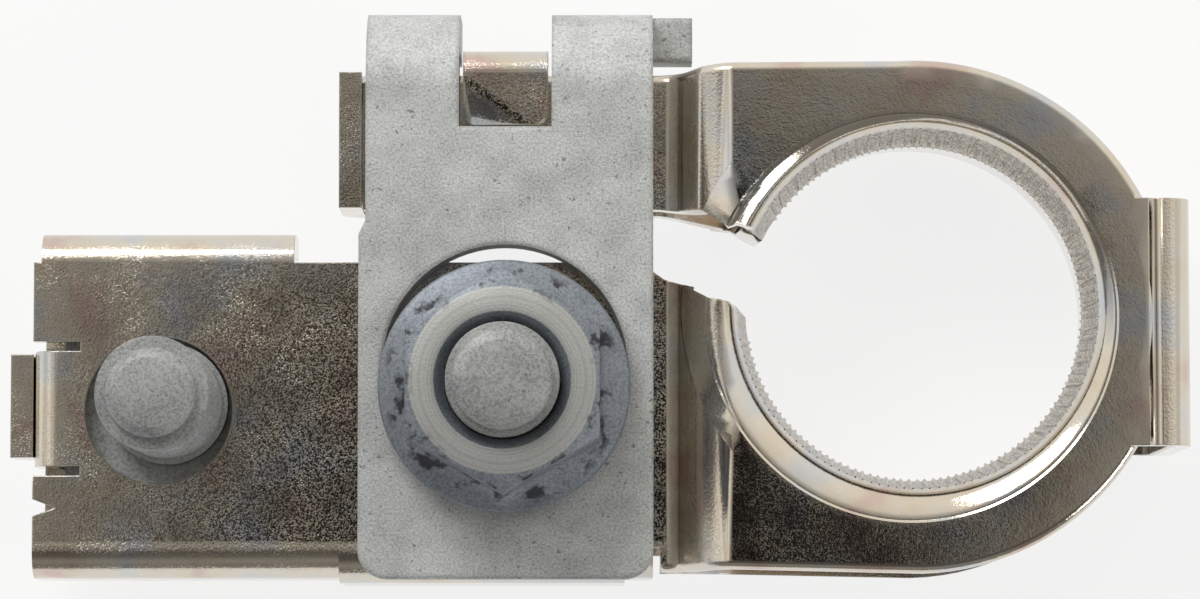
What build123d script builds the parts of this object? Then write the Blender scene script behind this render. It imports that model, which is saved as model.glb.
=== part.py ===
from build123d import *

import os
from math import sqrt

# Battery terminal clamp: a folded strip that grips the post, with a cable stud, a clamp
# bolt and a draw bracket that a cone-seated nut pulls across the slit.
#
# Frame: millimetres, +Z up along the post axis, origin on that axis in the plane that
# the lower ring rests on. -X runs from the post towards the cable stud.

os.makedirs("parts", exist_ok=True)

# ---- folded strip ----------------------------------------------------------------
sheet = 1.2
fold_height = 12.5
bend_r = 1.6
contact_gap = 0.05

# ring round the post
post_bore_r = 8.95
post_taper = 1 / 18
ring_r = 13.5
ring_edge_r = 0.45
fold_x = 14.5
neck_top_y = 6.2
neck_low_y = -6.8
groove_x = 12.6
groove_r = 0.45
groove_sink = 0.2

# funnel and collars
shoulder_r = 11.2
shoulder_bend_r = 1.5
funnel_drop = 0.6
funnel_bend_r = 1.6
upper_collar_z = 7.0
collar_split = 0.4
mouth_r = 10.6
mouth_bend_r = 1.3

# arms, and the steps that bring them together behind the ring
plate_top = 8.6
arm_floor = 3.7
upper_step_top_x = -11.2
upper_step_foot_x = -12.6
lower_step_top_x = -13.2
lower_step_foot_x = -9.8
step_r = 0.9
root_x = -13.5
arm_edge_y = 12.6
arm_low_y = -13.8
arm_left_x = -30.5
arm_wall_top = 9.9

# slit between the arms
slit_top_y = 5.4
slit_low_y = 2.6
slit_lip = (-9.6, 4.9)
slit_chin = (-9.7, 0.4)
slit_cheek = (-10.85, 0.85)
slit_corner = (-13.3, 1.7)
slit_low_x = -14.6

# plate that carries the cable stud
plate_left_x = -46.7
flange_y = -14.1
flange_foot = 2.0
flange_right_x = -13.9
support_y = -14.35
support_left_x = -30.5
support_right_x = -15.4
top_flange_y = 4.2
top_flange_left_x = -46.3
top_flange_right_x = -32.9
top_flange_foot = 4.4
stud_hole_r = 3.9
stud_hole_x = -40.05
stud_hole_y = -5.25
nick_y = -10.4
nick_width = 0.9
nick_depth = 1.2

# tabs at the left end
end_wall_x = -48.0
end_wall_low_y = -7.7
end_wall_high_y = -2.2
end_wall_top = 7.5
end_tab_low_y = -8.2
end_tab_high_y = -2.1
end_tab_foot = 5.2
end_tab_bend_r = 1.3
relief = 0.5

# crimp tab that ties the two layers together
crimp_left_x = -23.95
crimp_right_x = -19.45
crimp_free_y = 9.8
crimp_corner_r = 0.6

# ---- M6 fasteners ----------------------------------------------------------------
thread_r = 3.0
thread_gap = 0.05
seat_gap = 0.05
bolt_x = -21.7
bolt_y = -4.2
bolt_tip_z = 19.8
bolt_head_x = 10.0
bolt_head_y = 11.0
neck_side = 6.0
pilot_r = 2.75
pilot_flat_r = 1.95
stud_x = -39.6
stud_y = -4.9
stud_tip_z = 19.6
stud_head_x = 11.0
stud_head_y = 11.0
stud_neck_r = 3.2
stud_pilot_r = 2.5
stud_pilot_flat_r = 2.05
pilot_length = 0.9
head_edge_r = 0.3

# ---- draw bracket ----------------------------------------------------------------
bracket_t = 2.35
bracket_lift = 0.05
bracket_left_x = -29.4
bracket_inset = 0.35
bracket_inset_y = 3.9
bracket_right_x = -13.9
bracket_low_y = -14.2
bracket_corner_r = 1.5
ear_gap = 1.05
ear_foot = 3.2
ear_bend_r = 4.2
ear_root_r = 0.3
crimp_side_gap = 0.2
notch_floor_y = 9.6
notch_floor_r = 0.5
lug_x = -11.75
lug_top = 5.7

# ---- cone-seated nut and the draw it gives ---------------------------------------
draw_travel = 0.85
draw_hole_r = 6.45
draw_hole_margin = 0.25
cone_gap = 0.06
nut_flats = 10.0
nut_flange_r = 6.6
nut_flange_t = 0.9
nut_flange_lip = 0.2
nut_flange_rise = 0.6
nut_height = 6.0
nut_cone_depth = 2.3

# ---- sizes that follow -----------------------------------------------------------
arm_top = arm_floor + sheet
plate_low = plate_top - sheet
layer_split = (plate_low + arm_top) / 2
lower_edge_y = flange_y + sheet + contact_gap
crimp_y = arm_edge_y + contact_gap + sheet
crimp_top = plate_top + contact_gap + sheet

bracket_low = plate_top + bracket_lift
bracket_top = bracket_low + bracket_t
ear_in_y = arm_edge_y + ear_gap
ear_out_y = ear_in_y + bracket_t
draw_hole_x = bolt_x
draw_hole_y = bolt_y + draw_travel + draw_hole_margin

# 45 degree cone: it sinks as far as it pushes the bracket aside
cone_top_r = nut_flange_r - nut_flange_lip
cone_touch_r = draw_hole_r - (draw_hole_y - bolt_y)
nut_under = bracket_top + (cone_top_r - cone_touch_r) + cone_gap * sqrt(2)
nut_top = nut_under + nut_height

rising = (Align.CENTER, Align.CENTER, Align.MIN)


def lower_bore_r(height):
    """The post's taper, carried down from the upper collar's free edge."""
    return post_bore_r + post_taper * (upper_collar_z - height)


def folded(plane, *outer_face, bends, side):
    """Section of folded sheet: its outer face, bent and thickened to one side."""
    with BuildSketch(plane) as section:
        with BuildLine():
            FilletPolyline(*outer_face, radius=bends)
            offset(amount=sheet, side=side)
        make_face()
    return section.sketch


def layer_plan(arm_end_x, plate_end_x, low_y):
    """Outline of one layer: ring, neck and both arms, parted by the slit."""
    with BuildSketch() as plan:
        with BuildLine(mode=Mode.PRIVATE) as roots:
            CenterArc((0, 0), ring_r, 0, 360)
            Line((root_x, arm_edge_y), (root_x, arm_low_y))
        make_hull(roots.edges())
        with Locations((fold_x / 2, (neck_top_y + neck_low_y) / 2)):
            Rectangle(fold_x, neck_top_y - neck_low_y)
        with Locations((root_x, arm_edge_y)):
            Rectangle(root_x - arm_end_x, arm_edge_y - slit_top_y, align=(Align.MAX, Align.MAX))
        with Locations((root_x, slit_low_y)):
            Rectangle(root_x - plate_end_x, slit_low_y - low_y, align=(Align.MAX, Align.MAX))
        add(slit, mode=Mode.SUBTRACT)
    return plan.sketch


# ---- clamp body ------------------------------------------------------------------
with BuildSketch() as slit_plan:
    with BuildLine():
        Polyline(
            (end_wall_x - bend_r, slit_top_y),
            (root_x, slit_top_y),
            slit_lip,
            (-post_bore_r + sheet, slit_lip[1] - sheet),
            (-post_bore_r + sheet, -sheet),
            slit_chin,
            slit_cheek,
            slit_corner,
            (slit_low_x, slit_low_y),
            (end_wall_x - bend_r, slit_low_y),
            close=True,
        )
    make_face()
slit = slit_plan.sketch

upper_layer = layer_plan(arm_left_x + sheet + contact_gap, plate_left_x, flange_y + bend_r)
lower_layer = layer_plan(arm_left_x + bend_r, end_wall_x + bend_r, lower_edge_y)

strip_section = folded(
    Plane.XZ,
    (plate_left_x, plate_top),
    (upper_step_foot_x, plate_top),
    (upper_step_top_x, fold_height),
    (fold_x, fold_height),
    (fold_x, 0),
    (lower_step_foot_x, 0),
    (lower_step_top_x, arm_floor),
    (end_wall_x + bend_r, arm_floor),
    bends=(step_r, step_r + sheet, bend_r, bend_r, step_r, step_r + sheet),
    side=Side.RIGHT,
)
upper_collar = folded(
    Plane.XZ,
    (shoulder_r + sheet, fold_height),
    (shoulder_r, fold_height),
    (post_bore_r, fold_height - funnel_drop),
    (post_bore_r, upper_collar_z),
    bends=(shoulder_bend_r, funnel_bend_r),
    side=Side.LEFT,
)
lower_collar = folded(
    Plane.XZ,
    (mouth_r + sheet, 0),
    (lower_bore_r(0), 0),
    (lower_bore_r(upper_collar_z - collar_split), upper_collar_z - collar_split),
    bends=mouth_bend_r,
    side=Side.RIGHT,
)

with BuildPart() as collars:
    revolve(upper_collar, axis=Axis.Z)
    revolve(lower_collar, axis=Axis.Z)
    extrude(slit, amount=fold_height + 1, both=True, mode=Mode.SUBTRACT)

# crimp tab: off the lower arm, round the upper arm's edge and back over it
crimp_section = folded(
    Plane.YZ.offset(crimp_left_x),
    (arm_edge_y - bend_r, arm_floor),
    (crimp_y, arm_floor),
    (crimp_y, crimp_top),
    (crimp_free_y, crimp_top),
    bends=(bend_r, sheet + contact_gap),
    side=Side.LEFT,
)
with BuildPart() as crimp_tab:
    extrude(crimp_section, amount=crimp_right_x - crimp_left_x)
    free_corners = crimp_tab.edges().filter_by(Axis.Z).group_by(Axis.Y)[0]
    fillet(free_corners, crimp_corner_r)

with BuildPart() as clamp_body:
    extrude(Plane.XY.offset(layer_split) * upper_layer, amount=fold_height)
    extrude(Plane.XY.offset(layer_split) * lower_layer, amount=-fold_height)
    extrude(strip_section, amount=ring_r + arm_edge_y, both=True, mode=Mode.INTERSECT)

    # rolled outer edge of the upper ring
    rims = clamp_body.edges().group_by(Axis.Z)[-1].filter_by(GeomType.CIRCLE)
    fillet(rims.filter_by(lambda rim: rim.radius > ring_r - ring_edge_r), ring_edge_r)

    # coined groove where the strip folds
    with Locations((groove_x, 0, fold_height + groove_r - groove_sink)):
        Cylinder(groove_r, 2 * ring_r, rotation=(90, 0, 0), mode=Mode.SUBTRACT)

    # the rings' mouths, and the collars drawn from them
    with Locations((0, 0, layer_split)):
        Cylinder(shoulder_r + sheet / 2, fold_height, align=rising, mode=Mode.SUBTRACT)
    with Locations((0, 0, -sheet)):
        Cylinder(mouth_r + sheet / 2, layer_split + sheet, align=rising, mode=Mode.SUBTRACT)
    add(collars.part)

    # walls turned up at the left end of each lower arm
    walls = (
        (arm_left_x, arm_wall_top, slit_top_y, arm_edge_y),
        (end_wall_x, end_wall_top, end_wall_low_y, end_wall_high_y),
    )
    for wall_x, wall_top, low_y, high_y in walls:
        wall = folded(
            Plane.XZ.offset(-high_y),
            (wall_x + bend_r + sheet, arm_floor),
            (wall_x, arm_floor),
            (wall_x, wall_top),
            bends=bend_r,
            side=Side.RIGHT,
        )
        extrude(wall, amount=high_y - low_y)

    # flanges bent down along the stud plate's long edges
    flanges = (
        (flange_y, flange_foot, plate_left_x, flange_right_x),
        (support_y, 0, support_left_x, support_right_x),
    )
    for outer_y, foot, left_x, right_x in flanges:
        flange = folded(
            Plane.YZ.offset(left_x),
            (flange_y + bend_r + sheet, plate_top),
            (outer_y, plate_top),
            (outer_y, foot),
            bends=bend_r,
            side=Side.LEFT,
        )
        extrude(flange, amount=right_x - left_x)
    top_flange = folded(
        Plane.YZ.offset(top_flange_left_x),
        (top_flange_y - bend_r - sheet, plate_top),
        (top_flange_y, plate_top),
        (top_flange_y, top_flange_foot),
        bends=bend_r,
        side=Side.RIGHT,
    )
    extrude(top_flange, amount=top_flange_right_x - top_flange_left_x)

    # tab bent down inside the end wall, between two relief cuts, and a nick beside it
    with Locations((plate_left_x, end_tab_high_y + relief, layer_split)):
        Box(
            end_tab_bend_r + sheet,
            end_tab_high_y - end_tab_low_y + 2 * relief,
            plate_top,
            align=(Align.MIN, Align.MAX, Align.MIN),
            mode=Mode.SUBTRACT,
        )
    end_tab = folded(
        Plane.XZ.offset(-end_tab_high_y),
        (plate_left_x + end_tab_bend_r + 2 * sheet, plate_top),
        (plate_left_x, plate_top),
        (plate_left_x, end_tab_foot),
        bends=end_tab_bend_r,
        side=Side.LEFT,
    )
    extrude(end_tab, amount=end_tab_high_y - end_tab_low_y)
    with BuildSketch(Plane.XY.offset(layer_split)):
        with Locations((plate_left_x, nick_y)):
            Polygon((0, -nick_width / 2), (nick_depth, 0), (0, nick_width / 2), align=None)
    extrude(amount=plate_top, mode=Mode.SUBTRACT)

    add(crimp_tab.part)

    # holes for the two fasteners, in the upper layer only
    with Locations((stud_hole_x, stud_hole_y, layer_split)):
        Cylinder(stud_hole_r, plate_top, align=rising, mode=Mode.SUBTRACT)
    with Locations((bolt_x, bolt_y, layer_split)):
        Box(
            neck_side + 2 * seat_gap,
            neck_side + 2 * seat_gap,
            plate_top,
            align=rising,
            mode=Mode.SUBTRACT,
        )


# ---- fasteners -------------------------------------------------------------------
def fastener_section(neck_r, tip_z, end_r, flat_r):
    """Half section of a plain neck, a shank, its pilot end and a chamfered tip."""
    shank_r = thread_r - thread_gap
    with BuildSketch(Plane.XZ) as section:
        with BuildLine():
            Polyline(
                (0, layer_split),
                (neck_r, layer_split),
                (neck_r, plate_top - seat_gap),
                (shank_r, plate_top - seat_gap),
                (shank_r, tip_z - pilot_length - (shank_r - end_r)),
                (end_r, tip_z - pilot_length),
                (end_r, tip_z - (end_r - flat_r)),
                (flat_r, tip_z),
                (0, tip_z),
                close=True,
            )
        make_face()
    return section.sketch


def head_plan(x_size, y_size):
    with BuildSketch(Plane.XY.offset(arm_top + seat_gap)) as plan:
        RectangleRounded(x_size, y_size, 4 * head_edge_r)
    return plan.sketch


head_t = plate_low - arm_top - 2 * seat_gap

with BuildPart() as clamp_bolt:
    revolve(fastener_section(neck_side / 2, bolt_tip_z, pilot_r, pilot_flat_r), axis=Axis.Z)
    extrude(head_plan(bolt_head_x, bolt_head_y), amount=head_t)
    fillet(clamp_bolt.edges().group_by(Axis.Z)[0], head_edge_r)
    with Locations((0, 0, plate_low - 2 * seat_gap)):
        Box(neck_side, neck_side, sheet + seat_gap, align=rising)

with BuildPart() as cable_stud:
    revolve(fastener_section(stud_neck_r, stud_tip_z, stud_pilot_r, stud_pilot_flat_r), axis=Axis.Z)
    extrude(head_plan(stud_head_x, stud_head_y), amount=head_t)
    fillet(cable_stud.edges().group_by(Axis.Z)[0], head_edge_r)

# ---- draw bracket ----------------------------------------------------------------
with BuildSketch(Plane.YZ) as bracket_section:
    with BuildLine():
        Polyline(
            (bracket_low_y, bracket_low),
            (bracket_low_y, bracket_top),
            (ear_out_y, bracket_top),
            (ear_out_y, ear_foot),
            (ear_in_y, ear_foot),
            (ear_in_y, bracket_low),
            close=True,
        )
    make_face()
    corners = bracket_section.vertices()
    fillet(corners.sort_by_distance((ear_out_y, bracket_top))[0], ear_bend_r)
    fillet(corners.sort_by_distance((ear_in_y, bracket_low))[0], ear_root_r)

with BuildSketch() as bracket_plan:
    with BuildLine():
        Polyline(
            (bracket_left_x, bracket_low_y),
            (bracket_left_x, bracket_inset_y),
            (bracket_left_x + bracket_inset, bracket_inset_y + 2 * bracket_inset),
            (bracket_left_x + bracket_inset, ear_out_y),
            (bracket_right_x, ear_out_y),
            (bracket_right_x, bracket_low_y),
            close=True,
        )
    make_face()
    fillet(bracket_plan.vertices().group_by(Axis.Y)[0], bracket_corner_r)
    with Locations(((crimp_left_x + crimp_right_x) / 2, notch_floor_y)):
        Rectangle(
            crimp_right_x - crimp_left_x + 2 * crimp_side_gap,
            ear_out_y,
            align=(Align.CENTER, Align.MIN),
            mode=Mode.SUBTRACT,
        )
    fillet(bracket_plan.vertices().filter_by_position(Axis.Y, notch_floor_y, notch_floor_y), notch_floor_r)

with BuildPart() as draw_bracket:
    extrude(bracket_section.sketch, amount=-bracket_left_x, both=True)
    extrude(bracket_plan.sketch, amount=bracket_top + sheet, mode=Mode.INTERSECT)
    # lug that reaches past the right ear
    with Locations((bracket_right_x, ear_in_y, ear_foot)):
        Box(
            2 * (lug_x - bracket_right_x),
            bracket_t,
            lug_top - ear_foot,
            align=(Align.CENTER, Align.MIN, Align.MIN),
        )
    with Locations((draw_hole_x, draw_hole_y, 0)):
        Cylinder(draw_hole_r, bracket_top + sheet, align=rising, mode=Mode.SUBTRACT)

# ---- nut -------------------------------------------------------------------------
with BuildSketch(Plane.XZ) as nut_seat_section:
    with BuildLine():
        Polyline(
            (0, nut_under - nut_cone_depth),
            (cone_top_r - nut_cone_depth, nut_under - nut_cone_depth),
            (cone_top_r, nut_under),
            (nut_flange_r, nut_under),
            (nut_flange_r, nut_under + nut_flange_t),
            (nut_flats / 2, nut_under + nut_flange_t + nut_flange_rise),
            (0, nut_under + nut_flange_t + nut_flange_rise),
            close=True,
        )
    make_face()

with BuildPart() as clamp_nut:
    with BuildSketch(Plane.XY.offset(nut_under)):
        RegularPolygon(nut_flats / 2, 6, major_radius=False, rotation=30)
    extrude(amount=nut_height)
    revolve(nut_seat_section.sketch, axis=Axis.Z)
    with Locations((0, 0, nut_under - nut_cone_depth)):
        Cylinder(thread_r, 2 * nut_height, align=rising, mode=Mode.SUBTRACT)

# ---- place the fasteners and write the pieces ------------------------------------
pieces = {
    "clamp_body": clamp_body.part,
    "clamp_bolt": Location((bolt_x, bolt_y, 0)) * clamp_bolt.part,
    "cable_stud": Location((stud_x, stud_y, 0)) * cable_stud.part,
    "draw_bracket": draw_bracket.part,
    "clamp_nut": Location((bolt_x, bolt_y, 0)) * clamp_nut.part,
}
for name, piece in pieces.items():
    piece.label = name
    export_step(piece, f"parts/{name}.step")
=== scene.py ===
import math

import bmesh
import bpy
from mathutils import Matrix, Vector


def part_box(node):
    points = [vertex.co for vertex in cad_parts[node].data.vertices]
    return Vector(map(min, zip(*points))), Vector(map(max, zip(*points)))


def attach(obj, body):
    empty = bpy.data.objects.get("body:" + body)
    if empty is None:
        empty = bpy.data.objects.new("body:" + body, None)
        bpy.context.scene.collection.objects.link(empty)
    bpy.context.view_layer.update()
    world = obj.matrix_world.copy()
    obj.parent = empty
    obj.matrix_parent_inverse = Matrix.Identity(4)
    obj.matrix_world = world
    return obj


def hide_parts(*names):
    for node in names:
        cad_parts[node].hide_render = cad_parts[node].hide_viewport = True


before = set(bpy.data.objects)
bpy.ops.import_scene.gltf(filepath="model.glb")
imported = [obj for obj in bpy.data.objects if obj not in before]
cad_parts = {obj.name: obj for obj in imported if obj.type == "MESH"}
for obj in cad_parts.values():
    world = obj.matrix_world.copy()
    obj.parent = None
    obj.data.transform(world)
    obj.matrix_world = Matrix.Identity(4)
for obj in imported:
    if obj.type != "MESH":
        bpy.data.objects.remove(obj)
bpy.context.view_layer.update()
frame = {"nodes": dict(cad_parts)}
mm = 0.001
mergeWithin = 0.0005 * mm
print("frame loaded:", ", ".join(frame["nodes"]))


class Value:
    # a node's output that can be added, subtracted and multiplied in Python
    def __init__(self, tree, socket):
        self.tree = tree
        self.socket = socket

    def maths(self, operation, first, second=0.0):
        return self.tree.node("Math", {"operation": operation}, {0: first, 1: second})

    def __add__(self, other):
        return self.maths("ADD", self, other)

    __radd__ = __add__

    def __mul__(self, other):
        return self.maths("MULTIPLY", self, other)

    __rmul__ = __mul__

    def __sub__(self, other):
        return self.maths("SUBTRACT", self, other)

    def __rsub__(self, other):
        return self.maths("SUBTRACT", other, self)

    def __pow__(self, other):
        return self.maths("POWER", self, other)

    def most(self, other):
        return self.maths("MAXIMUM", self, other)

    def size(self):
        return self.maths("ABSOLUTE", self)


class Tree:
    # a node tree with one way to add a node: its type, its settings, its inputs
    def __init__(self, nodeTree):
        self.nodes = nodeTree.nodes
        self.links = nodeTree.links
        self.nodes.clear()

    def add(self, kind, settings=None, inputs=None):
        made = self.nodes.new("ShaderNode" + kind)
        for key, setting in (settings or {}).items():
            if key == "stops":
                self.setStops(made, setting)
            else:
                setattr(made, key, setting)
        for key, given in (inputs or {}).items():
            slot = made.inputs[key]
            if isinstance(given, Value):
                self.links.new(given.socket, slot)
            else:
                slot.default_value = given
        return made

    def node(self, kind, settings=None, inputs=None, output=0):
        return Value(self, self.add(kind, settings, inputs).outputs[output])

    def setStops(self, ramp, stops):
        elements = ramp.color_ramp.elements
        while len(elements) < len(stops):
            elements.new(0.5)
        for element, (place, tone) in zip(elements, stops):
            element.position = place
            element.color = (tone, tone, tone, 1) if isinstance(tone, (int, float)) else (*tone, 1)

    def point(self, centre=(0, 0, 0)):
        # object coordinates, moved so that a point given in mm is their origin
        place = self.node("TexCoord", output="Object")
        away = tuple(-c * mm for c in centre)
        return self.node("Mapping", {"vector_type": "POINT"}, {"Vector": place, "Location": away})

    def parts(self, vector):
        # x, y and z in mm
        split = self.add("SeparateXYZ", {}, {0: vector})
        return tuple(Value(self, output) * (1 / mm) for output in split.outputs)

    def radius(self, centre):
        x, y = self.parts(self.point(centre))[:2]
        return (x * x + y * y) ** 0.5

    def noise(self, point, perMm, detail=2.0, roughness=0.5, stretch=(1, 1, 1)):
        if stretch != (1, 1, 1):
            point = self.node("Mapping", {"vector_type": "POINT"}, {"Vector": point, "Scale": stretch})
        given = {"Vector": point, "Scale": perMm / mm, "Detail": detail, "Roughness": roughness}
        return self.node("TexNoise", {}, given)

    def steps(self, factor, stops):
        return self.node("ValToRGB", {"stops": stops}, {0: factor})

    def rise(self, value, low, high):
        # 0 below low, 1 above high
        return self.node("MapRange", {"clamp": True}, {0: value, 1: low, 2: high, 3: 0.0, 4: 1.0})

    def band(self, value, middle, half, soft):
        # 1 within half of the middle, 0 beyond half + soft
        return 1 - self.rise((value - middle).size(), half, half + soft)

    def mixColour(self, factor, first, second, blend="MIX"):
        given = {0: factor, 6: first, 7: second}
        return self.node("Mix", {"data_type": "RGBA", "blend_type": blend}, given, output=2)

    def bump(self, height, depthMm, normal=None):
        given = {"Height": height, "Distance": depthMm * mm, "Strength": 1.0}
        if normal is not None:
            given["Normal"] = normal
        return self.node("Bump", {}, given)

    def rounded(self, radiusMm):
        return self.node("Bevel", {"samples": 4}, {"Radius": radiusMm * mm})

    def finish(self, **inputs):
        shader = self.node("BsdfPrincipled", {}, inputs)
        self.add("OutputMaterial", {}, {"Surface": shader})


def newFinish(name):
    material = bpy.data.materials.new(name)
    material.use_nodes = True
    return material, Tree(material.node_tree)


plate = {
    "rose": (0.62, 0.50, 0.45),
    "warm": (0.66, 0.60, 0.50),
    "plain": (0.67, 0.63, 0.56),
    "cool": (0.58, 0.60, 0.62),
    "worn": (0.85, 0.80, 0.70),
    # painted shade on the collar's inner wall, from its dark to its light colour
    "wallShadeDark": (0.10, 0.09, 0.07),
    "wallShadeLight": (0.50, 0.45, 0.37),
    "wornShare": 0.35,
    "roughness": 0.055,
    "crestRough": 0.16,
    "pitRough": 0.22,
    "grainRough": 0.04,
    "collarRough": 0.20,
    # patterns for each mm
    "perMm": {
        "wave": 0.16,
        "peel": 1.6,
        "grain": 7.0,
        "pits": 11.0,
        "patches": 0.35,
        "scratches": 2.2,
        "wallShade": 3.5,
        "tint": 0.22,
    },
    "scratchStretch": (0.16, 1.3, 1.0),
    "pitsFrom": (0.52, 0.72),
    "patchesFrom": (0.40, 0.62),
    "scratchesFrom": (0.64, 0.72),
    "patchFloor": 0.35,
    "ringPits": 0.25,
    "grainFloor": 0.12,
    # depths in mm
    "edgeRound": 0.10,
    "wave": 0.012,
    "peel": 0.0016,
    "grainDepth": 0.020,
    "rimDepth": 0.05,
    "scratchDepth": 0.0006,
    "pitDepth": 0.006,
    "scoreDepth": 0.05,
    # crests in mm: middle, half width, soft edge
    "stepCrest": (-11.3, 0.7, 0.5),
    "foldCrest": (13.0, 0.25, 0.2),
    "flangeCrest": (-12.55, 0.12, 0.25),
    # soft limits in mm: from, to
    "studSide": (-16.0, -9.0),
    "collarSide": (9.45, 9.75),
    "collarFoot": (6.9, 7.0),
    "collarTop": (10.9, 11.6),
    "rimEdge": (10.7, 10.82),
    "rimCentre": (-0.4, -0.5, 0),
    "scores": 92.0,
}


def nickelPlate():
    material, tree = newFinish("nickelPlate")
    point = tree.point()
    x, y, z = tree.parts(point)
    perMm = plate["perMm"]
    towardPlate = 1 - tree.rise(x, *plate["studSide"])
    crests = (
        tree.band(x, *plate["stepCrest"])
        + tree.band(x, *plate["foldCrest"])
        + tree.band(y, *plate["flangeCrest"]) * towardPlate
    )

    wave = tree.noise(point, perMm["wave"], 2)
    peel = tree.noise(point, perMm["peel"], 2)
    grain = tree.noise(point, perMm["grain"], 2, 0.6)
    pits = tree.rise(tree.noise(point, perMm["pits"], 2, 0.6), *plate["pitsFrom"])
    clouds = tree.rise(tree.noise(point, perMm["patches"], 3, 0.6), *plate["patchesFrom"])
    patches = plate["patchFloor"] + (1 - plate["patchFloor"]) * clouds
    pitted = pits * (plate["ringPits"] + (1 - plate["ringPits"]) * towardPlate) * patches
    streaks = tree.noise(point, perMm["scratches"], 2, 0.6, plate["scratchStretch"])
    scratches = tree.rise(streaks, *plate["scratchesFrom"])
    rimLine = tree.rise(tree.radius(plate["rimCentre"]), *plate["rimEdge"])

    # the drawn collar's wall is scored and rougher, and its colour is painted dark as the shade inside the
    # bore
    inside = 1 - tree.rise(tree.radius((0, 0, 0)), *plate["collarSide"])
    collar = inside * tree.rise(z, *plate["collarFoot"]) * (1 - tree.rise(z, *plate["collarTop"]))
    angle = x.maths("ARCTAN2", y, x) * plate["scores"]
    score = angle.maths("SINE", angle)
    wallShade = tree.steps(
        tree.noise(point, perMm["wallShade"], 2, 0.6), [(0.36, plate["wallShadeDark"]), (0.64, plate["wallShadeLight"])]
    )

    tint = tree.steps(
        tree.noise(point, perMm["tint"], 3, 0.6),
        [(0.36, plate["rose"]), (0.44, plate["warm"]), (0.55, plate["plain"]), (0.66, plate["cool"])],
    )
    worn = tree.mixColour(plate["wornShare"] * pitted, tint, (*plate["worn"], 1))
    # the collar's wall takes the painted shade colour
    worn = tree.mixColour(collar, worn, wallShade)

    normal = tree.bump(wave, plate["wave"], tree.rounded(plate["edgeRound"]))
    normal = tree.bump(peel, plate["peel"], normal)
    normal = tree.bump(grain * (plate["grainFloor"] + crests), plate["grainDepth"], normal)
    normal = tree.bump(rimLine, plate["rimDepth"], normal)
    normal = tree.bump(scratches, plate["scratchDepth"], normal)
    normal = tree.bump(pitted, plate["pitDepth"], normal)
    normal = tree.bump(collar * score, plate["scoreDepth"], normal)
    roughness = (
        plate["roughness"]
        + plate["crestRough"] * crests
        + plate["pitRough"] * pitted
        + plate["grainRough"] * grain
        + plate["collarRough"] * collar
    )
    tree.finish(**{"Base Color": worn, "Metallic": 1.0, "Roughness": roughness, "Normal": normal})
    return material


ridgeNickel = {
    "dark": (0.16, 0.14, 0.11),
    "light": (0.62, 0.56, 0.46),
    "grain": 5.0,
    "roughness": 0.16,
    "grainRough": 0.2,
    "depth": 0.04,
}


def serratedNickel():
    material, tree = newFinish("serratedNickel")
    grain = tree.noise(tree.point(), ridgeNickel["grain"], 2, 0.6)
    tree.finish(
        **{
            "Base Color": tree.steps(grain, [(0.35, ridgeNickel["dark"]), (0.62, ridgeNickel["light"])]),
            "Metallic": 1.0,
            "Roughness": ridgeNickel["roughness"] + ridgeNickel["grainRough"] * grain,
            "Normal": tree.bump(grain, ridgeNickel["depth"]),
        }
    )
    return material


# the zinc flake coat that the bracket, the nut and the threaded ends share
flake = {
    "cloud": 0.5,
    "specks": 3.4,
    "speckSoft": 0.05,
    "cloudShare": 0.35,
    "speckShare": 0.7,
    "speckTone": 0.45,
    "grainRough": 0.12,
}
bracketZinc = {
    "dark": (0.29, 0.305, 0.31),
    "light": (0.66, 0.68, 0.675),
    "grain": 8.0,
    "speckFrom": 0.66,
    "roughness": 0.5,
    "metallic": 0.35,
    "edgeRound": 0.45,
    "depth": 0.03,
}
nutZinc = {
    "dark": (0.12, 0.14, 0.17),
    "light": (0.30, 0.33, 0.37),
    "grain": 7.0,
    "speckFrom": 0.70,
    "roughness": 0.42,
    "metallic": 0.45,
    "edgeRound": 0.12,
    "depth": 0.02,
}
boltZinc = {
    "dark": (0.16, 0.175, 0.19),
    "light": (0.42, 0.43, 0.42),
    "grain": 7.0,
    "speckFrom": 0.68,
    "roughness": 0.46,
    "metallic": 0.35,
    "edgeRound": 0.08,
    "depth": 0.02,
}


def zincFlake(name, zinc, marksAndShade=None):
    material, tree = newFinish(name)
    point = tree.point()
    grain = tree.noise(point, zinc["grain"], 3, 0.7)
    cloud = tree.noise(point, flake["cloud"], 3)
    speckle = tree.noise(point, flake["specks"], 2, 0.6)
    specks = tree.rise(speckle, zinc["speckFrom"], zinc["speckFrom"] + flake["speckSoft"])
    colour = tree.mixColour(
        flake["cloudShare"],
        tree.steps(grain, [(0.36, zinc["dark"]), (0.58, zinc["light"])]),
        tree.steps(cloud, [(0.30, zinc["dark"]), (0.62, zinc["light"])]),
    )
    speckColour = (*(flake["speckTone"] * c for c in zinc["dark"]), 1)
    colour = tree.mixColour(flake["speckShare"] * specks, colour, speckColour)
    # the nut's painted shade and top marks are laid over the coat here
    if marksAndShade:
        colour = marksAndShade(tree, point, colour)
    tree.finish(
        **{
            "Base Color": colour,
            "Metallic": zinc["metallic"],
            "Roughness": zinc["roughness"] + flake["grainRough"] * grain,
            "Normal": tree.bump(grain, zinc["depth"], tree.rounded(zinc["edgeRound"])),
        }
    )
    return material


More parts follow.
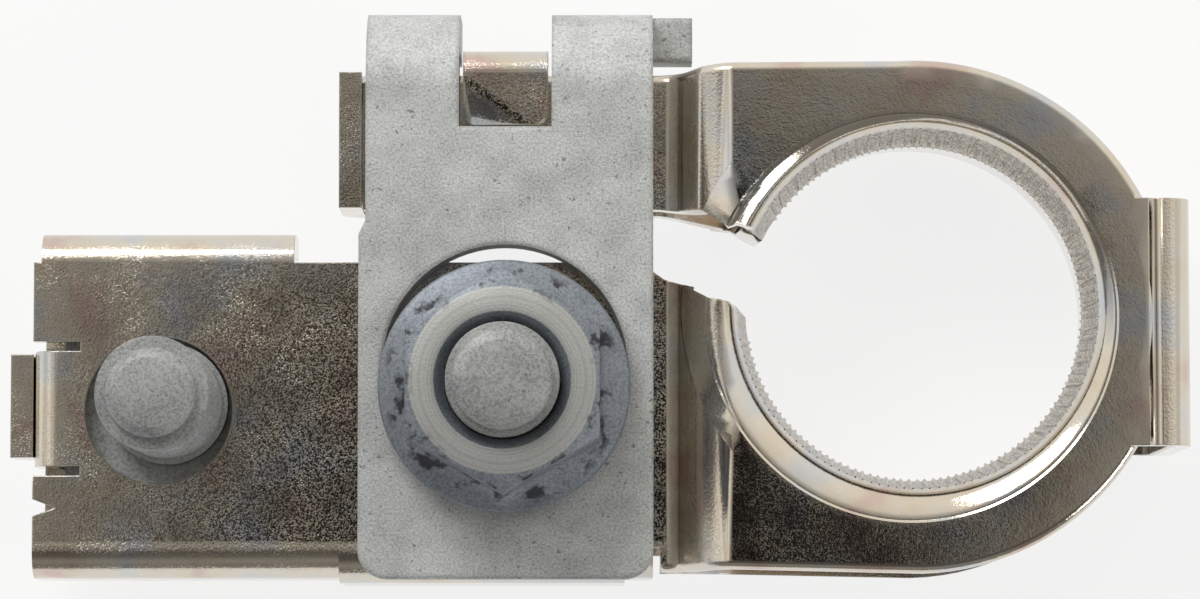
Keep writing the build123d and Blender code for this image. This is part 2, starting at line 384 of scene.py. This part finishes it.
nut = {
    "centre": (-21.7, -4.2),
    "flats": 10.0,
    "crown": 4.75,
    "crownDrop": 0.5,
    "sink": 3.45,
    "sinkEdge": 0.1,
    "sinkDepth": 0.75,
    "bore": 3.0,
    "flangeT": 0.9,
    "flangeEdge": 0.12,
    "flangeRound": 0.25,
    "flangeRoundIn": 0.08,
    "flangeRise": 0.8,
    "flangeReach": 1.6,
    "flatFoot": 0.25,
    "footDrop": 0.8,
    "coneDepth": 2.3,
    "lip": 0.2,
    "around": 144,
}
nutMarkShade = {
    # painted shade on the flats and round their feet: band in mm, noise, tone and share
    "footShade": (5.5, 0.45, 0.5),
    "footShadePerMm": 0.8,
    "footShadeFrom": (0.54, 0.62),
    "footShadeTone": (0.02, 0.02, 0.025),
    "footShadeShare": 0.9,
    "topFrom": 0.05,
    "topTo": 0.01,
    "topTone": (0.60, 0.60, 0.55),
    "topShare": 0.55,
    "arcStretch": 0.004,
    "arcPerMm": 1.2,
    "arcsFrom": (0.5, 0.6),
    "arcTone": (0.20, 0.21, 0.22),
    "arcShare": 0.35,
}
nutLow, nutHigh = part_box("clamp_nut")
nutUnder = nutLow[2] / mm + nut["coneDepth"]
nutTop = nutHigh[2] / mm
flangeR = (nutHigh[0] - nutLow[0]) / mm / 2


def nutMarksAndShade(tree, point, colour):
    # painted shade in dark patches on the flats and round their feet, where they meet the flange, and a
    # paler top face with darker arcs
    z = tree.parts(point)[2]
    r = tree.radius((*nut["centre"], 0))
    patches = tree.rise(tree.noise(point, nutMarkShade["footShadePerMm"], 3, 0.6), *nutMarkShade["footShadeFrom"])
    # painted shade: near-black patches over the flats and round their feet
    footShade = tree.band(r, *nutMarkShade["footShade"]) * patches
    top = tree.rise(z, nutTop - nutMarkShade["topFrom"], nutTop - nutMarkShade["topTo"])
    arcs = tree.rise(tree.noise(r * nutMarkShade["arcStretch"], nutMarkShade["arcPerMm"], 1), *nutMarkShade["arcsFrom"])
    colour = tree.mixColour(nutMarkShade["topShare"] * top, colour, (*nutMarkShade["topTone"], 1))
    colour = tree.mixColour(nutMarkShade["arcShare"] * top * arcs, colour, (*nutMarkShade["arcTone"], 1))
    return tree.mixColour(nutMarkShade["footShadeShare"] * footShade, colour, (*nutMarkShade["footShadeTone"], 1))


def pieceFrom(name, points, faces, material, sharp=35):
    mesh = bpy.data.meshes.new(name)
    mesh.from_pydata([Vector(p) * mm for p in points], [], faces)
    work = bmesh.new()
    work.from_mesh(mesh)
    bmesh.ops.remove_doubles(work, verts=work.verts, dist=mergeWithin)
    bmesh.ops.recalc_face_normals(work, faces=work.faces)
    work.to_mesh(mesh)
    work.free()
    mesh.materials.append(material)
    mesh.shade_smooth()
    mesh.set_sharp_from_angle(angle=math.radians(sharp))
    made = bpy.data.objects.new(name, mesh)
    bpy.context.scene.collection.objects.link(made)
    return made


def turned(centre, around, rows):
    # closed skin through rows of (radius of the angle, height), joined end to start
    points, faces = [], []
    for row in rows:
        for i in range(around):
            turn = 2 * math.pi * i / around
            r, z = row(turn)
            points.append((centre[0] + r * math.cos(turn), centre[1] + r * math.sin(turn), z))
    for j in range(len(rows)):
        for i in range(around):
            k, n = (i + 1) % around, (j + 1) % len(rows)
            faces.append((j * around + i, j * around + k, n * around + k, n * around + i))
    return points, faces


def hexR(turn):
    # radius of a hexagon whose corners point along +Y and -Y
    part = (turn + math.pi / 6) % (math.pi / 3) - math.pi / 6
    return nut["flats"] / 2 / math.cos(part)


def flangeNut():
    top, under = nutTop, nutUnder
    foot = under - nut["coneDepth"]
    coneTop = flangeR - nut["lip"]
    shelf = under + nut["flangeT"]

    def flat(r, z):
        return lambda turn: (r, z)

    def climb(turn):
        # how far the flange has climbed where it meets the flats
        return nut["flangeRise"] * (flangeR - hexR(turn)) / nut["flangeReach"]

    rows = [
        flat(nut["bore"], foot),
        flat(coneTop - nut["coneDepth"], foot),
        flat(coneTop, under),
        flat(flangeR - nut["flangeEdge"], under),
        flat(flangeR, under + nut["flangeEdge"]),
        flat(flangeR, shelf - nut["flangeRound"]),
        flat(flangeR - nut["flangeRoundIn"], shelf - nut["flangeRoundIn"]),
        flat(flangeR - nut["flangeRound"], shelf),
        lambda turn: (hexR(turn) + nut["flatFoot"], shelf + climb(turn) * nut["footDrop"]),
        lambda turn: (hexR(turn), shelf + climb(turn) + nut["flatFoot"]),
        lambda turn: (hexR(turn), top - nut["crownDrop"] * (hexR(turn) - nut["crown"])),
        flat(nut["crown"], top),
        flat(nut["sink"] + nut["sinkEdge"], top),
        flat(nut["sink"], top - nut["sinkEdge"]),
        flat(nut["bore"], top - nut["sinkDepth"]),
    ]
    points, faces = turned(nut["centre"], nut["around"], rows)
    made = pieceFrom("flange_nut", points, faces, zincFlake("nutZinc", nutZinc, nutMarksAndShade))
    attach(made, "nut")
    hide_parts("clamp_nut")
    return made


threads = {
    "pitch": 1.0,
    "depth": 0.42,
    "around": 48,
    "perTurn": 10,
    "runIn": 0.8,
    "endFade": 0.25,
    "grooveShape": 2.3,
    "sharp": 30,
    # the plain point above the last thread
    "endLength": 0.95,
    "shoulder": 0.05,
    "pilotDown": 0.45,
    "roundIn": 0.12,
    "roundDown": 0.25,
    "tipIn": 0.1,
    "tipDown": 0.03,
    "cutOver": 0.02,
}
clampBolt = {
    "node": "clamp_bolt",
    "name": "threaded_bolt",
    "centre": (-21.7, -4.2),
    "shank": 2.95,
    "neckTop": 8.55,
    "pilot": 2.6,
    "flat": 1.95,
}
cableStud = {
    "node": "cable_stud",
    "name": "threaded_stud",
    "centre": (-39.6, -4.9),
    "shank": 2.95,
    "neckTop": 8.55,
    "pilot": 2.3,
    "flat": 1.75,
}


def threadedEnd(part, material):
    # the CAD's head and neck, cut off under the shank, with a threaded shank on top
    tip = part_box(part["node"])[1][2] / mm
    start = part["neckTop"]
    end = tip - threads["endLength"]
    source = frame["nodes"][part["node"]].data
    work = bmesh.new()
    work.from_mesh(source)
    bmesh.ops.remove_doubles(work, verts=work.verts, dist=mergeWithin)
    bmesh.ops.bisect_plane(
        work,
        geom=work.verts[:] + work.edges[:] + work.faces[:],
        plane_co=(0, 0, (start + threads["cutOver"]) * mm),
        plane_no=(0, 0, 1),
        clear_outer=True,
    )
    cut = [edge for edge in work.edges if edge.is_boundary]
    bmesh.ops.contextual_create(work, geom=cut)
    lower = bpy.data.meshes.new(part["name"] + "Lower")
    work.to_mesh(lower)
    work.free()

    around = threads["around"]
    across, along = part["centre"]
    turns = (end - start) / threads["pitch"]
    rows = int(turns * threads["perTurn"])
    points, faces = [], []
    for j in range(rows + 1):
        z = start + (end - start) * j / rows
        fade = min(
            1.0, (z - start) / threads["runIn"], (end - z) / threads["runIn"] + threads["endFade"]
        )
        for i in range(around):
            turn = 2 * math.pi * i / around
            phase = ((z - start) / threads["pitch"] - i / around) % 1.0
            groove = max(0.0, 1 - abs(phase - 0.5) * threads["grooveShape"])
            r = part["shank"] - threads["depth"] * fade * groove
            points.append((across + r * math.cos(turn), along + r * math.sin(turn), z))
    tail = [
        (part["pilot"], end + threads["shoulder"]),
        (part["pilot"], tip - threads["pilotDown"]),
        (part["pilot"] - threads["roundIn"], tip - threads["roundDown"]),
        (part["flat"] + threads["tipIn"], tip - threads["tipDown"]),
        (part["flat"], tip),
    ]
    for r, z in tail:
        for i in range(around):
            turn = 2 * math.pi * i / around
            points.append((across + r * math.cos(turn), along + r * math.sin(turn), z))
    total = rows + 1 + len(tail)
    for j in range(total - 1):
        for i in range(around):
            k = (i + 1) % around
            faces.append((j * around + i, j * around + k, (j + 1) * around + k, (j + 1) * around + i))
    faces.append(tuple(range((total - 1) * around, total * around)))
    faces.append(tuple(reversed(range(around))))
    shift = len(points)
    points += [tuple(v.co / mm) for v in lower.vertices]
    faces += [tuple(i + shift for i in p.vertices) for p in lower.polygons]
    bpy.data.meshes.remove(lower)
    made = pieceFrom(part["name"], points, faces, material, threads["sharp"])
    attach(made, "clamp")
    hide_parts(part["node"])
    return made


ring = {
    "bore": 8.95,
    "rimWas": 11.4,
    "rimNow": 10.65,
    "plateWas": 12.4,
    "outerWas": 13.5,
    "outerNow": 13.45,
    "lean": 0.50,
    "leanFrom": 7.0,
    "leanTo": 10.9,
    "shift": (-0.2, -0.5),
    "rimShift": (-0.4, -0.5),
    "collarFoot": 6.8,
    "armFrom": -6.0,
    "armTo": -9.7,
    "foldFrom": 11.9,
    "top": 12.5,
    # the step behind the ring: its bend, and how steeply it falls after that
    "crestStart": -9.722,
    "crestRadius": 2.1,
    "crestEnd": -11.699,
    "slope": 2.786,
    "tuck": 0.6,
    "slack": 0.05,
    "sharp": 28,
}


def stepTop(x):
    # height of the strip's upper face where it steps down behind the ring
    start, radius = ring["crestStart"], ring["crestRadius"]
    if x >= start:
        return ring["top"]
    reach = min(start - x, start - ring["crestEnd"])
    arc = ring["top"] - radius + math.sqrt(radius ** 2 - reach ** 2)
    return arc - ring["slope"] * max(0.0, ring["crestEnd"] - x)


def clampSkin():
    # merged copy of the folded strip, its funnel drawn in to a crisp rim and its step kept clear
    work = bmesh.new()
    work.from_mesh(frame["nodes"]["clamp_body"].data)
    bmesh.ops.remove_doubles(work, verts=work.verts, dist=mergeWithin)
    shoulder = ring["plateWas"] + ring["slack"]
    for vert in work.verts:
        x, y, z = (c / mm for c in vert.co)
        r = math.hypot(x, y)
        towardRing = min(1.0, max(0.0, (x - ring["armTo"]) / (ring["armFrom"] - ring["armTo"])))
        if z > ring["collarFoot"] and r <= ring["rimWas"] + ring["slack"]:
            height = min(1.0, max(0.0, (z - ring["leanFrom"]) / (ring["leanTo"] - ring["leanFrom"])))
            share = (r - ring["bore"]) / (ring["rimWas"] - ring["bore"])
            inner = ring["bore"] + ring["lean"] * height
            moved = inner + (ring["rimNow"] - inner) * share
            x = x * moved / r + ring["rimShift"][0] * height * share
            y = y * moved / r + ring["rimShift"][1] * height * share
            z = min(z, stepTop(x))
        elif z > ring["top"] - ring["slack"] and r <= shoulder and x < ring["crestStart"]:
            z = stepTop(x)
        elif z > ring["collarFoot"] and r <= shoulder and x < ring["crestStart"]:
            # nothing of the funnel's shoulder stands over the step
            z = min(z, stepTop(x) - ring["tuck"])
        elif r > shoulder or x > ring["foldFrom"]:
            moved = r + (ring["outerNow"] - ring["outerWas"]) * towardRing
            x = x * moved / r + ring["shift"][0] * towardRing
            y = y * moved / r + ring["shift"][1] * towardRing
        vert.co = Vector((x, y, z)) * mm
    mesh = bpy.data.meshes.new("clampSkin")
    work.to_mesh(mesh)
    work.free()
    mesh.materials.clear()
    mesh.materials.append(nickel)
    mesh.shade_smooth()
    mesh.set_sharp_from_angle(angle=math.radians(ring["sharp"]))
    made = bpy.data.objects.new("clamp_skin", mesh)
    bpy.context.scene.collection.objects.link(made)
    weighted = made.modifiers.new("weighted", "WEIGHTED_NORMAL")
    weighted.keep_sharp = True
    made.data = bpy.data.meshes.new_from_object(made.evaluated_get(bpy.context.evaluated_depsgraph_get()))
    made.modifiers.clear()
    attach(made, "clamp")
    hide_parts("clamp_body")
    return made


serration = {
    "count": 118,
    "start": -170.0,
    "sweep": 318.0,
    "radius": 9.31,
    "middle": 9.1,
    "width": 0.27,
    "length": 4.0,
    "lean": 9.0,
    "jitter": 0.12,
    "seed": 4,
}


def serrations():
    group = bpy.data.node_groups.new("serrations", "GeometryNodeTree")
    group.interface.new_socket("Geometry", in_out="OUTPUT", socket_type="NodeSocketGeometry")
    names = ["Count", "Start", "Sweep", "Radius", "Middle", "Width", "Length", "Lean", "Seed"]
    for name in names:
        kind = "NodeSocketInt" if name in ("Count", "Seed") else "NodeSocketFloat"
        group.interface.new_socket(name, in_out="INPUT", socket_type=kind)
    nodes, links = group.nodes, group.links

    def add(kind, settings=None, inputs=None):
        made = nodes.new(kind)
        for key, setting in (settings or {}).items():
            setattr(made, key, setting)
        for key, given in (inputs or {}).items():
            if hasattr(given, "is_output"):
                links.new(given, made.inputs[key])
            else:
                made.inputs[key].default_value = given
        return made

    def maths(operation, first, second=0.0):
        return add("ShaderNodeMath", {"operation": operation}, {0: first, 1: second}).outputs[0]

    given = add("NodeGroupInput")
    points = add("GeometryNodePoints", {}, {"Count": given.outputs["Count"]})
    index = add("GeometryNodeInputIndex").outputs[0]
    stepBy = maths("DIVIDE", given.outputs["Sweep"], given.outputs["Count"])
    jitter = add(
        "FunctionNodeRandomValue",
        {"data_type": "FLOAT"},
        {2: -serration["jitter"], 3: serration["jitter"], "ID": index, "Seed": given.outputs["Seed"]},
    ).outputs[1]
    turn = maths("ADD", maths("MULTIPLY", maths("ADD", index, jitter), stepBy), given.outputs["Start"])
    turn = maths("RADIANS", turn)
    flat = add(
        "ShaderNodeCombineXYZ",
        {},
        {
            0: maths("MULTIPLY", maths("COSINE", turn), given.outputs["Radius"]),
            1: maths("MULTIPLY", maths("SINE", turn), given.outputs["Radius"]),
            2: given.outputs["Middle"],
        },
    ).outputs[0]
    placed = add("GeometryNodeSetPosition", {}, {"Geometry": points.outputs[0], "Position": flat})
    ridge = add(
        "GeometryNodeMeshCube",
        {},
        {
            "Size": add(
                "ShaderNodeCombineXYZ",
                {},
                {0: given.outputs["Width"], 1: given.outputs["Width"], 2: given.outputs["Length"]},
            ).outputs[0]
        },
    )
    diamond = add(
        "GeometryNodeTransform", {}, {"Geometry": ridge.outputs[0], "Rotation": (0, 0, math.radians(45))}
    )
    leant = add(
        "GeometryNodeTransform",
        {},
        {
            "Geometry": diamond.outputs[0],
            "Rotation": add(
                "ShaderNodeCombineXYZ", {}, {1: maths("RADIANS", given.outputs["Lean"])}
            ).outputs[0],
        },
    )
    facing = add("ShaderNodeCombineXYZ", {}, {2: turn}).outputs[0]
    onPoints = add(
        "GeometryNodeInstanceOnPoints",
        {},
        {"Points": placed.outputs[0], "Instance": leant.outputs[0], "Rotation": facing},
    )
    real = add("GeometryNodeRealizeInstances", {}, {0: onPoints.outputs[0]})
    dressed = add("GeometryNodeSetMaterial", {}, {"Geometry": real.outputs[0], "Material": serrated})
    add("NodeGroupOutput", {}, {0: dressed.outputs[0]})

    mesh = bpy.data.meshes.new("collar_serrations")
    made = bpy.data.objects.new("collar_serrations", mesh)
    bpy.context.scene.collection.objects.link(made)
    modifier = made.modifiers.new("serrations", "NODES")
    modifier.node_group = group
    sizes = {
        "Count": serration["count"],
        "Start": serration["start"],
        "Sweep": serration["sweep"],
        "Radius": serration["radius"] * mm,
        "Middle": serration["middle"] * mm,
        "Width": serration["width"] * mm,
        "Length": serration["length"] * mm,
        "Lean": serration["lean"],
        "Seed": serration["seed"],
    }
    for socket in group.interface.items_tree:
        if socket.in_out == "INPUT":
            modifier[socket.identifier] = sizes[socket.name]
    made.data = bpy.data.meshes.new_from_object(made.evaluated_get(bpy.context.evaluated_depsgraph_get()))
    made.modifiers.clear()
    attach(made, "clamp")
    return made


nickel = nickelPlate()
serrated = serratedNickel()
clampSkin()
serrations()
print("folded strip and serrations made")
flangeNut()
boltFinish = zincFlake("boltZinc", boltZinc)
threadedEnd(clampBolt, boltFinish)
threadedEnd(cableStud, boltFinish)
print("nut, bolt and stud made")
bracketMesh = frame["nodes"]["draw_bracket"].data
bracketMesh.materials.clear()
bracketMesh.materials.append(zincFlake("bracketZinc", bracketZinc))
print("bracket finished")


whiteGround = {
    "size": 6,
    "tone": (0.88, 0.88, 0.88),
    "glow": 0.82,
}


def whiteFloor():
    bpy.ops.mesh.primitive_plane_add(size=whiteGround["size"], location=(0, 0, 0))
    floor = bpy.context.object
    floor.name = "floor"
    material, tree = newFinish("floorWhite")
    path = tree.add("LightPath")
    seen = [Value(tree, path.outputs[f"Is {ray} Ray"]) for ray in ("Camera", "Glossy", "Transmission")]
    diffuse = tree.node("BsdfDiffuse", {}, {"Color": (*whiteGround["tone"], 1)})
    glow = tree.node("Emission", {}, {"Color": (1, 1, 1, 1), "Strength": 1.0})
    shown = seen[0].most(seen[1]).most(seen[2]) * whiteGround["glow"]
    mixed = tree.node("MixShader", {}, {0: shown, 1: diffuse, 2: glow})
    tree.add("OutputMaterial", {}, {"Surface": mixed})
    floor.data.materials.append(material)


studio = {
    "discX": -0.004,
    "discY": 0.022,
    # brightness by distance from the disc's middle
    "sky": [
        (0.0, 0.006),
        (0.060, 0.008),
        (0.085, 0.10),
        (0.11, 0.30),
        (0.20, 0.38),
        (0.45, 0.60),
        (0.70, 1.0),
    ],
    # shares by direction, from the near side to the far side
    "nearSide": [(0.05, 0.35), (0.25, 0.16), (0.44, 0.22), (0.50, 1.0)],
    "wallTone": [(0.10, 0.22), (0.35, 0.30), (0.50, 0.60), (0.62, 1.0)],
    # shares by height over the ground
    "wall": [(0.42, 1.0), (0.60, 0.0)],
    "horizon": [(0.05, 1.0), (0.14, 0.0)],
    "tint": (1.0, 0.955, 0.89),
}


def studioWorld():
    # a dark disc over the object in a pale ceiling, pale walls and a white horizon
    world = bpy.data.worlds.new("studio")
    bpy.context.scene.world = world
    world.use_nodes = True
    tree = Tree(world.node_tree)
    direction = tree.node("TexCoord", output="Generated")
    split = tree.add("SeparateXYZ", {}, {0: direction})
    across, along, up = (Value(tree, output) for output in split.outputs)
    awayX = across - studio["discX"]
    awayY = along - studio["discY"]
    away = (awayX * awayX + awayY * awayY) ** 0.5
    sky = tree.steps(away, studio["sky"])
    nearSide = tree.steps(along * 0.5 + 0.5, studio["nearSide"])
    sky = tree.mixColour(1.0, sky, nearSide, "MULTIPLY")
    wallTone = tree.steps(along * 0.5 + 0.5, studio["wallTone"])
    colour = tree.mixColour(tree.steps(up, studio["wall"]), sky, wallTone)
    colour = tree.mixColour(1.0, colour, (*studio["tint"], 1), "MULTIPLY")
    colour = tree.mixColour(tree.steps(up, studio["horizon"]), colour, (1, 1, 1, 1))
    back = tree.node("Background", {}, {"Color": colour, "Strength": 1.0})
    tree.add("OutputWorld", {}, {"Surface": back})


lampAim = (-0.017, 0, 0)
lamps = {
    "keyLamp": {"place": (-0.25, 0.45, 0.45), "size": 0.35, "power": 2.0},
    "rimLamp": {"place": (0.45, -0.30, 0.35), "size": 0.25, "power": 0.6},
}


def softLamp(name, place, size, power):
    data = bpy.data.lights.new(name, "AREA")
    data.shape = "DISK"
    data.size = size
    data.energy = power
    lamp = bpy.data.objects.new(name, data)
    bpy.context.scene.collection.objects.link(lamp)
    lamp.location = place
    lamp.rotation_euler = (Vector(lampAim) - Vector(place)).to_track_quat("-Z", "Y").to_euler()


view = {
    "aim": (-16.7 * mm, 0.6 * mm, 9 * mm),
    "distance": 280 * mm,
    "tilt": math.radians(4.3),
    "lens": 158.8,
    "film": 36,
    "nearest": 0.01,
}


def viewCamera():
    data = bpy.data.cameras.new("camera")
    camera = bpy.data.objects.new("camera", data)
    bpy.context.scene.collection.objects.link(camera)
    away = Vector((0, -math.sin(view["tilt"]), math.cos(view["tilt"])))
    camera.location = Vector(view["aim"]) + away * view["distance"]
    camera.rotation_euler = (view["tilt"], 0, 0)
    data.lens = view["lens"]
    data.sensor_width = view["film"]
    data.clip_start = view["nearest"]
    bpy.context.scene.camera = camera


bpy.context.scene.view_settings.view_transform = "Standard"
whiteFloor()
studioWorld()
for name, lamp in lamps.items():
    softLamp(name, **lamp)
viewCamera()
print("studio set")
